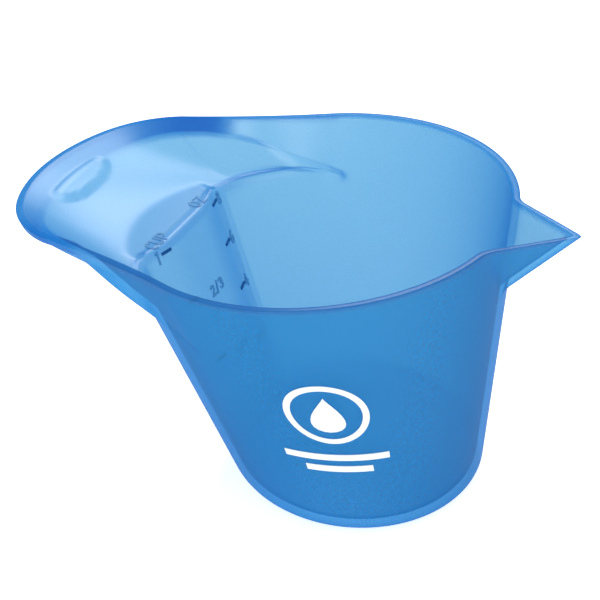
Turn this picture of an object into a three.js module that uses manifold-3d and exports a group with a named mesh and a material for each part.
// Measuring bowl with a pouring beak, a scoop-shaped grip and a sloping inside scale.
//
// One injection-moulded shell, given here as its working regions: floor, wall, scale ramp, scoop,
// thumb rest and beak. They meet face to face on the planes that part them. The raised marks on the
// ramp and the printed emblem on the wall are bodies of their own.
//
// Millimetres, +Z up, +X towards the beak, mirror plane y = 0, resting on z = 0.

import * as THREE from 'three';
import { ConvexGeometry } from 'three/addons/geometries/ConvexGeometry.js';
import { mergeVertices } from 'three/addons/utils/BufferGeometryUtils.js';
import Module from 'manifold-3d';

const wasm = await Module();
wasm.setup();

// ---------------------------------------------------------------- driving dimensions

const wall = 1.8; // thickness of walls and scoop
const floorThickness = 2.2;
const baseRadius = 30.5; // flat that the bowl stands on
const baseCorner = 3.5; // rounding between base and wall, outside
const insideCorner = 1.5; // the same, inside
const baseCentreX = 4.2;
const mouthRadius = 49.5; // round part of the rim, outside
const mouthCentreX = -9.4; // the wall leans back towards the grip
const rimHeight = 74; // at x = 0
const rimSlope = 0.098; // the rim climbs towards the beak

const gripLength = 27.5; // from the back of the round mouth to the end of the grip
const gripEndRadius = 46; // blunt end of the grip
const gripCornerRadius = 28; // its two corners
const gripCornerY = 8.1;
const gripWaist = 0.9; // how far the grip's sides are drawn in between mouth and corner
const scoopDepth = 8.9; // from the rim at the grip's end down to where the scoop's floor starts
const scoopSag = 0.7; // hollow of the scoop's floor below a straight line
const sagRun = 20; // a floor shorter than this sags less
const slantFactor = 1.06; // a sloping wall's thickness measured upright, over its thickness
const lipDepth = 1.8; // drop from the rim into the scoop round the grip's end
const lipSideWidth = 2.6; // width of that drop along the sides
const lipEndWidth = 5.2; // and at the end
const creaseShare = 0.555; // part of the grip's length over which the crease climbs to the lip
const creaseCurve = 1.5; // above 1 the crease climbs fastest at the shoulder
const creaseBlend = 0.6; // share of that climb over which the lip's width takes over
const tuck = 0.4; // where the scoop grows out of the wall, it starts this far inside its faces
const tuckRun = 0.125; // share of the grip's length over which the tuck runs out

const thumbRestLength = 23; // raised oval on the scoop's floor
const thumbRestWidth = 6.8;
const thumbRestRise = 0.7;
const thumbRestGap = 0.5; // from the lip to the oval

const beakLength = 16.9; // from the round mouth to the beak's tip
const beakHalfWidth = 12.8; // where the beak leaves the rim
const beakDrop = 18.5; // from the rim down to the foot of its keel
const beakWall = 1.1;
const beakSink = 0.3; // the keel's foot starts this far inside the wall's face

const rampFootDepth = 5.5; // the scale ramp stands this far out of the back wall at the floor
const rampTopDepth = 7.05; // and at its top
const rampRise = 0.8; // top of the ramp above the start of the scoop's floor
const rampHalfWidth = 20;
const rampFaceFoot = 4.4; // half width of its middle facet, at the floor
const rampFaceTop = 9.8; // and at its top
const rampFlankYaw = 13; // degrees by which the side facets turn back

// The top line is the one-cup and eight-ounce line: with these sizes about 237 ml, one US cup.
const fullLineDrop = 1.42; // from the ramp's top down to it
const markRise = 0.35; // height of the raised marks
const markGap = 0.02; // clearance between a mark and the face it stands on
const tickLength = 3.4;
const tickWidth = 0.75;
const ounceTickOffset = 2.6; // from the ramp's fold to a line of each kind
const cupTickOffset = 1.2;
const thirdTickOffset = 0.6;
const numeralGap = 1.6; // from a line to the middle of its numeral
const numeralDrop = 0.4; // a numeral's middle below its line
const fractionDrop = 2; // a fraction's middle below its line
const glyphHeight = 3.2;
const fractionScale = 0.8; // height of a fraction's numerals over glyphHeight
const glyphPitch = 0.84; // spacing of characters over their height
const glyphStroke = 0.5;
const unitEdge = 1.6; // from the ramp's top edge to the unit names
const cupWordY = -11.5; // middles of the two unit names
const ounceWordY = 10;

const printAngle = -68; // degrees from +X to the emblem's middle, on the wall
const printHeight = 38; // of the emblem's middle above the base
const printThickness = 0.2;
const printGap = 0.1;
const ringRadius = 9.5;
const ringHole = 0.84; // over ringRadius
const ringRise = 5; // ring's middle above the emblem's
const dropRadius = 5.6;
const dropPinch = 1.5; // above 1 the drop's point is finer
const barHeight = 2;
const upperBar = { length: 26, rise: -9.5 };
const lowerBar = { length: 17, rise: -13.5 };

const roundSegments = 72;
const headroom = 12; // how far cutting solids run past the rim
const scoopHeadroom = 3; // how far the scoop's solids do
const regionMargin = 0.4; // clearance between a parting plane and what it goes round
const far = 120;

// ---------------------------------------------------------------- derived sizes

const rimZ = (x) => rimHeight + rimSlope * x;
const mouthHeight = rimZ(mouthCentreX);
const wallFootRadius = baseRadius + baseCorner;
const wallFlare = (mouthRadius - wallFootRadius) / (mouthHeight - baseCorner);
const wallLean = (mouthCentreX - baseCentreX) / (mouthHeight - baseCorner);
const wallRadius = (z) => wallFootRadius + wallFlare * (z - baseCorner);
const wallCentreX = (z) => baseCentreX + wallLean * (z - baseCorner);

const mouthFrontX = mouthCentreX + mouthRadius;
const beakTipX = mouthFrontX + beakLength;
const gripEndX = mouthCentreX - mouthRadius - gripLength;
const springHeight = rimZ(gripEndX) - scoopDepth; // where the scoop's floor leaves the wall
const rampTop = springHeight + rampRise;
const topZ = rimZ(beakTipX) + headroom;

const innerBackX = (z) => wallCentreX(z) - wallRadius(z) + wall;
const rampFootX = innerBackX(floorThickness) + rampFootDepth;
const rampTopX = innerBackX(rampTop) + rampTopDepth;
const thumbRestX = gripEndX + wall + lipEndWidth + thumbRestGap + thumbRestWidth / 2;

const originX = (beakTipX + gripEndX) / 2; // the part's own origin, under its middle

// ---------------------------------------------------------------- solids

// A closed three.js geometry as a manifold solid, turned outwards if it is inside out.
function solid(geometry) {
  const bare = geometry.clone();
  for (const name of ['normal', 'uv']) bare.deleteAttribute(name);
  const merged = mergeVertices(bare, 1e-4);
  const index = merged.index.array;
  const triangles = [];
  for (let i = 0; i < index.length; i += 3) {
    const [a, b, c] = index.slice(i, i + 3);
    if (a !== b && b !== c && c !== a) triangles.push(a, b, c);
  }
  const vertProperties = new Float32Array(merged.attributes.position.array);
  const make = (order) => new wasm.Manifold(new wasm.Mesh({
    numProp: 3, vertProperties, triVerts: new Uint32Array(order),
  }));
  const body = make(triangles);
  return body.volume() > 0 ? body : make(triangles.reverse());
}

function geometryOf(body) {
  const mesh = body.getMesh();
  const geometry = new THREE.BufferGeometry();
  geometry.setAttribute('position', new THREE.BufferAttribute(mesh.vertProperties, 3));
  geometry.setIndex(new THREE.BufferAttribute(mesh.triVerts, 1));
  geometry.computeVertexNormals();
  return geometry;
}

const hull = (points) => solid(new ConvexGeometry(points.map((p) => new THREE.Vector3(...p))));

// A block from its corner numbers as they stand, so that two blocks can share a face exactly.
const box = (low, high) => hull([low[0], high[0]].flatMap(
  (x) => [low[1], high[1]].flatMap((y) => [low[2], high[2]].map((z) => [x, y, z]))));

function arc(x, y, radius, from, to, steps) {
  return Array.from({ length: steps + 1 }, (_, i) => {
    const angle = from + (to - from) * (i / steps);
    return new THREE.Vector2(x + radius * Math.cos(angle), y + radius * Math.sin(angle));
  });
}

// A profile turned about the upright axis, then leaned so that its rings follow the wall's centres.
function leaningTurn(profile) {
  const geometry = new THREE.LatheGeometry(profile, roundSegments);
  geometry.rotateX(Math.PI / 2);
  const position = geometry.attributes.position;
  for (let i = 0; i < position.count; i += 1) {
    position.setX(i, position.getX(i) + wallCentreX(position.getZ(i)));
  }
  return solid(geometry);
}

function cupOutside() {
  return leaningTurn([
    new THREE.Vector2(0, 0),
    ...arc(baseRadius, baseCorner, baseCorner, -Math.PI / 2, 0, 4),
    new THREE.Vector2(wallRadius(topZ), topZ),
    new THREE.Vector2(0, topZ),
  ]);
}

function cupInside() {
  const cornerZ = floorThickness + insideCorner;
  const cornerX = wallRadius(cornerZ) - wall - insideCorner;
  return leaningTurn([
    new THREE.Vector2(0, floorThickness),
    ...arc(cornerX, cornerZ, insideCorner, -Math.PI / 2, 0, 3),
    new THREE.Vector2(wallRadius(topZ) - wall, topZ),
    new THREE.Vector2(0, topZ),
  ]);
}

// ---------------------------------------------------------------- scoop

// Half of the grip's plan outline, from where it leaves the round mouth to its end: a drawn-in
// side, a corner arc and the blunt end arc. Each entry is a point and its outward direction.
function gripOutline() {
  const cornerToEnd = Math.sqrt((gripEndRadius - gripCornerRadius) ** 2 - gripCornerY ** 2);
  const endCentreX = gripEndX + gripEndRadius;
  const cornerX = endCentreX - cornerToEnd;
  const reach = Math.hypot(cornerX - mouthCentreX, gripCornerY);
  const leave = Math.atan2(gripCornerY, cornerX - mouthCentreX)
    - Math.acos((mouthRadius - gripCornerRadius) / reach);
  const turn = Math.atan2(gripCornerY, cornerX - endCentreX);
  const out = (angle) => new THREE.Vector2(Math.cos(angle), Math.sin(angle));
  const stations = [];
  const sideSteps = 10;
  const from = out(leave).multiplyScalar(mouthRadius).add(new THREE.Vector2(mouthCentreX, 0));
  const corner = new THREE.Vector2(cornerX, gripCornerY);
  const to = out(leave).multiplyScalar(gripCornerRadius).add(corner);
  for (let i = 0; i <= sideSteps; i += 1) {
    const t = i / sideSteps;
    const drawnIn = 4 * gripWaist * t * (1 - t);
    const point = from.clone().lerp(to, t).addScaledVector(out(leave), -drawnIn);
    stations.push({ point, out: out(leave) });
  }
  const cornerSteps = 6;
  for (let i = 1; i <= cornerSteps; i += 1) {
    const angle = leave + (turn - leave) * (i / cornerSteps);
    const point = out(angle).multiplyScalar(gripCornerRadius).add(corner);
    stations.push({ point, out: out(angle) });
  }
  const endSteps = 6;
  for (let i = 1; i <= endSteps; i += 1) {
    const angle = turn + (Math.PI - turn) * (i / endSteps);
    const point = out(angle).multiplyScalar(gripEndRadius).add(new THREE.Vector2(endCentreX, 0));
    stations.push({ point, out: out(angle) });
  }
  return stations;
}

const halfGrip = gripOutline();
const shoulder = halfGrip[0]; // where the scoop's side grows out of the round wall
const shoulderDepth = rimZ(shoulder.point.x) - springHeight;
const shoulderDraft = wallFlare - wallLean * -shoulder.out.x;
const lipStartX = shoulder.point.x - creaseShare * (shoulder.point.x - gripEndX);

// Depth of the scoop's floor below the rim at its edge, and how far that edge stands in from the rim.
function edgeOf(station) {
  const share = THREE.MathUtils.clamp(
    (station.point.x - lipStartX) / (shoulder.point.x - lipStartX), 0, 1);
  const depth = lipDepth + (shoulderDepth - lipDepth) * share ** creaseCurve;
  const lipWidth = lipSideWidth + (lipEndWidth - lipSideWidth) * Math.max(0, -station.out.x) ** 2;
  const blend = THREE.MathUtils.smoothstep(share, 0, creaseBlend);
  const inset = THREE.MathUtils.lerp(lipWidth, shoulderDraft * depth, blend);
  return { depth, inset };
}

// The space of the scoop, from its floor up past the rim. Grown is false for the hollow and true for
// the outside, which is larger by the wall all round. The knee is where the lip ends and the side
// goes on at the wall's own draft: at the rim inside, and a wall's thickness below it outside.
function scoop(grown) {
  const skin = grown ? wall : 0;
  const coreInset = 5; // its inner side lies this far inside the cup's hollow
  const sections = [...halfGrip, ...halfGrip.slice(0, -1).reverse().map(({ point, out }) => ({
    point: new THREE.Vector2(point.x, -point.y), out: new THREE.Vector2(out.x, -out.y),
  }))].map((station) => {
    const { depth, inset } = edgeOf(station);
    const rim = rimZ(station.point.x);
    const fromShoulder = (shoulder.point.x - station.point.x) / (shoulder.point.x - gripEndX);
    const tucked = Math.max(0, tuck / 2 * (1 - fromShoulder / tuckRun));
    const setIn = (back) => station.point.clone().addScaledVector(station.out, -back - tucked);
    const upright = skin * slantFactor;
    const edge = setIn(inset + wall - skin);
    const knee = setIn(wall - skin + shoulderDraft * upright);
    const top = setIn(wall - skin - shoulderDraft * scoopHeadroom);
    const springZ = springHeight - upright;
    const edgeZ = rim - depth - upright;
    const heading = Math.atan2(station.point.y, station.point.x - mouthCentreX);
    const ring = (radius) => new THREE.Vector2(
      wallCentreX(springZ) + radius * Math.cos(heading), radius * Math.sin(heading));
    const spring = ring(wallRadius(springZ) - wall + skin - tuck);
    const core = ring(wallRadius(springZ) - wall - coreInset);
    const floorAt = (t) => {
      const p = spring.clone().lerp(edge, t);
      const bow = 4 * t * (1 - t) * scoopSag * Math.min(1, spring.distanceTo(edge) / sagRun);
      return [p.x, p.y, springZ + (edgeZ - springZ) * t - bow];
    };
    return [
      [core.x, core.y, springZ],
      floorAt(0), floorAt(0.35), floorAt(0.7), floorAt(1),
      [knee.x, knee.y, rim - upright],
      [top.x, top.y, rim + scoopHeadroom],
      [core.x, core.y, rimZ(core.x) + scoopHeadroom],
    ];
  });
  return solid(loft(sections));
}

// Closed skin over a row of like polygons, with a flat fan over each end.
function loft(sections) {
  const count = sections[0].length;
  const index = [];
  for (let s = 0; s + 1 < sections.length; s += 1) {
    for (let i = 0; i < count; i += 1) {
      const a = s * count + i;
      const b = s * count + (i + 1) % count;
      index.push(a, b, a + count, b, b + count, a + count);
    }
  }
  const last = (sections.length - 1) * count;
  for (let i = 1; i + 1 < count; i += 1) {
    index.push(0, i + 1, i, last, last + i, last + i + 1);
  }
  const geometry = new THREE.BufferGeometry();
  geometry.setAttribute('position', new THREE.Float32BufferAttribute(sections.flat(2), 3));
  geometry.setIndex(index);
  return geometry;
}

// ---------------------------------------------------------------- scale ramp

const rampLean = (rampTopX - rampFootX) / (rampTop - floorThickness); // x per millimetre of height
const rampFaceX = (z) => rampFootX + rampLean * (z - floorThickness);
const rampSpread = (rampFaceTop - rampFaceFoot) / (rampTop - floorThickness); // and half width
const rampFaceHalf = (z) => rampFaceFoot + rampSpread * (z - floorThickness);
const flankTurn = Math.tan(THREE.MathUtils.degToRad(rampFlankYaw));

// Three facets facing into the bowl, a level top, and a body that runs back past the wall.
// Skin moves every face back by that much, for the hollow behind the ramp.
function rampBlock(skin) {
  const half = rampHalfWidth - skin;
  const faceBack = skin * Math.hypot(1, rampLean);
  const rings = [-1, rampTop - skin].map((z) => {
    const faceX = rampFaceX(z) - faceBack;
    const faceHalf = rampFaceHalf(z);
    const flankX = faceX - flankTurn * (half - faceHalf);
    return [[faceX, faceHalf], [flankX, half], [gripEndX, half]].flatMap(
      ([x, y]) => [[x, y, z], [x, -y, z]]);
  });
  return hull(rings.flat());
}

// ---------------------------------------------------------------- beak

const beakFootZ = rimZ(mouthFrontX) - beakDrop;

// Two flat cheeks that meet in a keel. The hollow is the same wedge moved up and back.
function beak(hollow) {
  const footX = wallCentreX(beakFootZ) + wallRadius(beakFootZ) - beakSink;
  const foot = new THREE.Vector3(footX, 0, beakFootZ);
  const tip = new THREE.Vector3(beakTipX, 0, rimZ(beakTipX));
  const rootX = mouthCentreX + Math.sqrt(mouthRadius ** 2 - beakHalfWidth ** 2);
  const root = new THREE.Vector3(rootX, beakHalfWidth, rimZ(rootX));
  const keel = tip.clone().sub(foot).normalize();
  const cheek = new THREE.Vector3().crossVectors(keel, root.clone().sub(foot)).normalize();
  const inward = new THREE.Vector3(-keel.z, 0, keel.x);
  const shift = inward.multiplyScalar(hollow ? beakWall / Math.abs(inward.dot(cheek)) : 0);
  const overrun = 1.2; // the cheeks run on past the rim
  const past = (p) => p.clone().sub(foot).multiplyScalar(overrun).add(foot);
  const insideReach = 14; // and the wedge's open side lies inside the mouth
  const insideShare = 0.8;
  const inside = (y) => new THREE.Vector3(
    rootX - insideReach, y * insideShare, root.z + scoopHeadroom);
  const corners = [foot, past(tip), past(root), past(root).setY(-past(root).y)]
    .map((p) => p.clone().add(shift));
  return hull([...corners, inside(beakHalfWidth), inside(-beakHalfWidth)].map((p) => p.toArray()));
}

// ---------------------------------------------------------------- whole moulding, then its regions

function aboveRim() {
  const geometry = new THREE.BoxGeometry(4 * far, 2 * far, far);
  geometry.translate(0, 0, far / 2);
  geometry.rotateY(-Math.atan(rimSlope));
  geometry.translate(0, 0, rimHeight);
  return solid(geometry);
}

const thumbCutter = (() => {
  const geometry = new THREE.CylinderGeometry(0.5, 0.5, 2 * headroom, 24);
  geometry.rotateX(Math.PI / 2);
  geometry.scale(thumbRestWidth, thumbRestLength, 1);
  geometry.translate(thumbRestX, 0, rimZ(thumbRestX));
  return solid(geometry);
})();

const hollowSpace = cupInside().add(scoop(false)).add(beak(true)).subtract(rampBlock(0));
const skinSpace = cupOutside().subtract(rampBlock(wall)).add(scoop(true)).add(beak(false));
const moulding = skinSpace.subtract(hollowSpace).subtract(aboveRim());

// The thumb rest is the oval of floor under the thumb, thickened upwards.
const floorOval = moulding.intersect(thumbCutter);
const thumbRest = floorOval.add(floorOval.translate([0, 0, thumbRestRise]));

// Inner face of the front wall at a height, as far as y out from the mirror plane.
const innerFrontX = (z, y) => wallCentreX(z) + Math.sqrt((wallRadius(z) - wall) ** 2 - y ** 2);
const beakSideY = beakHalfWidth + wall;
const beakRegionZ = beakFootZ - wall;
const beakRegionX = Math.min(innerFrontX(beakRegionZ, beakSideY), innerFrontX(topZ, beakSideY));
const rampRegionBack = innerBackX(rampTop) - 2 * wall - regionMargin;
const rampSideY = rampHalfWidth + regionMargin;
const scoopRegionZ = springHeight - 2 * wall - regionMargin;

const floorRegion = box([-far, -far, -1], [far, far, floorThickness]);
const rampRegion = box([rampRegionBack, -rampSideY, floorThickness],
  [baseCentreX, rampSideY, rampTop + regionMargin]);
const scoopRegion = box([-far, -far, scoopRegionZ], [shoulder.point.x, far, far]);
const beakRegion = box([beakRegionX - regionMargin, -beakSideY, beakRegionZ], [far, beakSideY, far]);

const shell = moulding.subtract(thumbCutter);
const aboveFloor = shell.subtract(floorRegion);
const regions = {
  cup_floor: shell.intersect(floorRegion),
  scale_ramp: aboveFloor.intersect(rampRegion),
  scoop_grip: aboveFloor.intersect(scoopRegion).subtract(rampRegion),
  pour_beak: aboveFloor.intersect(beakRegion),
  cup_wall: aboveFloor.subtract(rampRegion).subtract(scoopRegion).subtract(beakRegion),
  thumb_rest: thumbRest,
};

// ---------------------------------------------------------------- scale marks

const heldBelow = (z) => hollowSpace.intersect(box([-far, -far, 0], [far, far, z])).volume();
const fullLine = rampTop - fullLineDrop;
const fullMeasure = heldBelow(fullLine);

// Height at which the hollow holds a share of the full measure, found by halving the interval.
function levelHolding(share) {
  if (share === 1) return fullLine;
  let low = floorThickness;
  let high = fullLine;
  for (let i = 0; i < 20; i += 1) {
    const middle = (low + high) / 2;
    if (heldBelow(middle) < share * fullMeasure) low = middle;
    else high = middle;
  }
  return (low + high) / 2;
}

// Local frame on the ramp: across is level along the facet, up climbs it, out leaves it.
// Side is 0 on the middle facet, +1 or -1 on the flanks; offset is measured from the mirror plane
// there, and outwards from the fold on a flank.
function rampFrame(side, z, offset) {
  const slopeUp = new THREE.Vector3(rampLean, side * rampSpread, 1);
  const across = new THREE.Vector3(-flankTurn * Math.abs(side), side || 1, 0).normalize();
  const out = new THREE.Vector3().crossVectors(across, slopeUp).normalize();
  if (out.x < 0) out.negate();
  const level = across.multiplyScalar(across.y < 0 ? -1 : 1);
  const up = new THREE.Vector3().crossVectors(out, level).normalize();
  const origin = new THREE.Vector3(rampFaceX(z), side * rampFaceHalf(z), z)
    .addScaledVector(level, side ? side * offset : offset);
  return new THREE.Matrix4().makeBasis(level, up, out).setPosition(origin);
}

// Strokes are rows of points in a cell one unit high; each stretch becomes a bar of stroke width.
function strokeBody(strokes, height, stroke) {
  let body = null;
  for (const row of strokes) {
    for (let i = 0; i + 1 < row.length; i += 1) {
      const from = row[i].clone().multiplyScalar(height);
      const to = row[i + 1].clone().multiplyScalar(height);
      const length = from.distanceTo(to) + stroke;
      const bar = new THREE.BoxGeometry(length, stroke, markRise);
      bar.rotateZ(Math.atan2(to.y - from.y, to.x - from.x));
      bar.translate((from.x + to.x) / 2, (from.y + to.y) / 2, markGap + markRise / 2);
      body = body ? body.add(solid(bar)) : solid(bar);
    }
  }
  return body;
}

const at = (x, y) => new THREE.Vector2(x, y);
const bend = (x, y, wide, high, from, to, steps = 5) => Array.from({ length: steps + 1 }, (_, i) => {
  const angle = THREE.MathUtils.degToRad(from + (to - from) * (i / steps));
  return at(x + wide * Math.cos(angle), y + high * Math.sin(angle));
});

const glyphs = {
  0: [bend(0, 0, 0.28, 0.5, 0, 360, 10)],
  1: [[at(-0.12, 0.34), at(0.04, 0.5), at(0.04, -0.5)]],
  2: [[...bend(0, 0.23, 0.26, 0.27, 160, -35, 5), at(-0.26, -0.5), at(0.28, -0.5)]],
  3: [[...bend(-0.02, 0.25, 0.25, 0.25, 150, -80, 5), ...bend(-0.02, -0.24, 0.28, 0.26, 80, -150, 5)]],
  4: [[at(0.12, -0.5), at(0.12, 0.5), at(-0.3, -0.18), at(0.3, -0.18)]],
  6: [bend(0, -0.22, 0.26, 0.28, 0, 360, 8), [at(0.16, 0.5), at(-0.12, 0.22), at(-0.26, -0.22)]],
  8: [bend(0, 0.25, 0.22, 0.25, 0, 360, 8), bend(0, -0.25, 0.27, 0.25, 0, 360, 8)],
  slash: [[at(-0.18, -0.6), at(0.18, 0.6)]],
  C: [bend(0.06, 0, 0.32, 0.5, 50, 310, 7)],
  U: [[at(-0.28, 0.5), ...bend(0, -0.2, 0.28, 0.3, 180, 360, 5), at(0.28, 0.5)]],
  P: [[at(-0.24, -0.5), at(-0.24, 0.5), ...bend(0, 0.24, 0.26, 0.26, 90, -90, 5), at(-0.24, -0.02)]],
  O: [bend(0, 0, 0.32, 0.5, 0, 360, 10)],
  Z: [[at(-0.27, 0.5), at(0.27, 0.5), at(-0.27, -0.5), at(0.27, -0.5)]],
};

const marks = []; // name, body, frame

// Characters in a row about a point on the ramp, lowered along the facet by drop.
function word(names, side, z, offset, height, drop) {
  names.forEach(([name, glyph], i) => {
    const along = (i - (names.length - 1) / 2) * glyphPitch * height;
    const frame = rampFrame(side, z, offset);
    frame.multiply(new THREE.Matrix4().makeTranslation(along, -drop, 0));
    marks.push([name, strokeBody(glyphs[glyph], height, glyphStroke), frame]);
  });
}

function tick(name, side, z, offset) {
  const line = [[at(-0.5, 0), at(0.5, 0)]];
  const frame = rampFrame(side, z, offset + tickLength / 2);
  marks.push([name, strokeBody(line, tickLength - tickWidth, tickWidth), frame]);
}

// A line and the numeral beside it, on the flank of that side.
function numberedLine(tickName, numeralName, glyph, side, z, offset) {
  tick(tickName, side, z, offset);
  const beside = offset + tickLength + numeralGap;
  word([[numeralName, glyph]], side, z, beside, glyphHeight, numeralDrop);
}

for (const ounces of [8, 6, 4, 2]) {
  const z = levelHolding(ounces / 8);
  numberedLine(`tick_${ounces}_oz`, `numeral_${ounces}_oz`, ounces, 1, z, ounceTickOffset);
}
numberedLine('tick_1_cup', 'numeral_1_cup', 1, -1, fullLine, cupTickOffset);
for (const [over, under] of [[2, 3], [1, 3]]) {
  const z = levelHolding(over / under);
  const label = `${over}_${under}`;
  const fraction = [[`numeral_${label}_over`, over], [`slash_${label}`, 'slash'],
    [`numeral_${label}_under`, under]];
  tick(`tick_${label}_cup`, -1, z, thirdTickOffset);
  word(fraction, 0, z, 0, glyphHeight * fractionScale, fractionDrop);
}

// Unit names lie on the ramp's level top and read from the bowl's side.
function unitWord(letters, y) {
  [...letters].forEach((letter, i) => {
    const along = (i - (letters.length - 1) / 2) * glyphPitch * glyphHeight;
    const frame = new THREE.Matrix4().makeRotationZ(Math.PI / 2);
    frame.setPosition(rampTopX - unitEdge - glyphHeight / 2, y + along, rampTop);
    marks.push([`letter_${letter}`, strokeBody(glyphs[letter], glyphHeight, glyphStroke), frame]);
  });
}
unitWord('CUP', cupWordY);
unitWord('OZ', ounceWordY);

// ---------------------------------------------------------------- printed emblem

// Wraps a flat piece, with x along the wall and y up, onto the wall's outside.
function wrapOnWall(geometry) {
  const position = geometry.attributes.position;
  const middle = THREE.MathUtils.degToRad(printAngle);
  for (let i = 0; i < position.count; i += 1) {
    const z = printHeight + position.getY(i);
    const angle = middle + position.getX(i) / wallRadius(printHeight);
    const radius = wallRadius(z) + printGap + position.getZ(i);
    position.setXYZ(i, wallCentreX(z) + radius * Math.cos(angle), radius * Math.sin(angle), z);
  }
  return solid(geometry);
}

// Flat plate, or a ring if hole isn't 0, whose outline shape gives at each share and angle.
function plate(y, hole, shape, steps) {
  const rings = hole ? [hole, 1] : [0, 0.35, 0.7, 1];
  const across = rings.map((r) => new THREE.Vector2(r, 0));
  const over = [...rings].reverse().map((r) => new THREE.Vector2(r, printThickness));
  const profile = [...across, ...over];
  if (hole) profile.push(across[0].clone());
  const geometry = new THREE.LatheGeometry(profile, steps);
  geometry.rotateX(Math.PI / 2);
  const position = geometry.attributes.position;
  for (let i = 0; i < position.count; i += 1) {
    const angle = Math.atan2(position.getY(i), position.getX(i));
    const [px, py] = shape(Math.hypot(position.getX(i), position.getY(i)), angle);
    position.setXY(i, px, y + py);
  }
  return wrapOnWall(geometry);
}

function bar({ length, rise }) {
  const geometry = new THREE.BoxGeometry(length, barHeight, printThickness, 14, 1, 1);
  geometry.translate(0, rise, printThickness / 2);
  return wrapOnWall(geometry);
}

const circle = (r, angle) => [
  r * ringRadius * Math.cos(angle), r * ringRadius * Math.sin(angle)];
const drop = (r, angle) => {
  const round = angle + Math.PI / 2;
  const pinch = Math.abs(Math.cos(round / 2)) ** dropPinch;
  return [r * dropRadius * Math.sin(round) * pinch, -r * dropRadius * Math.cos(round)];
};
const prints = {
  print_ring: plate(ringRise, ringHole, circle, 48),
  print_drop: plate(ringRise, 0, drop, 24),
  print_bar_upper: bar(upperBar),
  print_bar_lower: bar(lowerBar),
};

// ---------------------------------------------------------------- scene graph

const finish = (color, roughness) => new THREE.MeshStandardMaterial({ color, roughness, metalness: 0 });
const blue = finish(0x3391cf, 0.22);
const ink = finish(0xf8fbfd, 0.5);

const bowl = new THREE.Group();
bowl.position.x = -originX;

function addMesh(name, body, material, frame) {
  const mesh = new THREE.Mesh(geometryOf(body), material.clone());
  mesh.name = name;
  if (frame) frame.decompose(mesh.position, mesh.quaternion, mesh.scale);
  bowl.add(mesh);
}

for (const [name, body] of Object.entries(regions)) addMesh(name, body, blue);
for (const [name, body, frame] of marks) addMesh(name, body, blue, frame);
for (const [name, body] of Object.entries(prints)) addMesh(name, body, ink);

export default bowl;
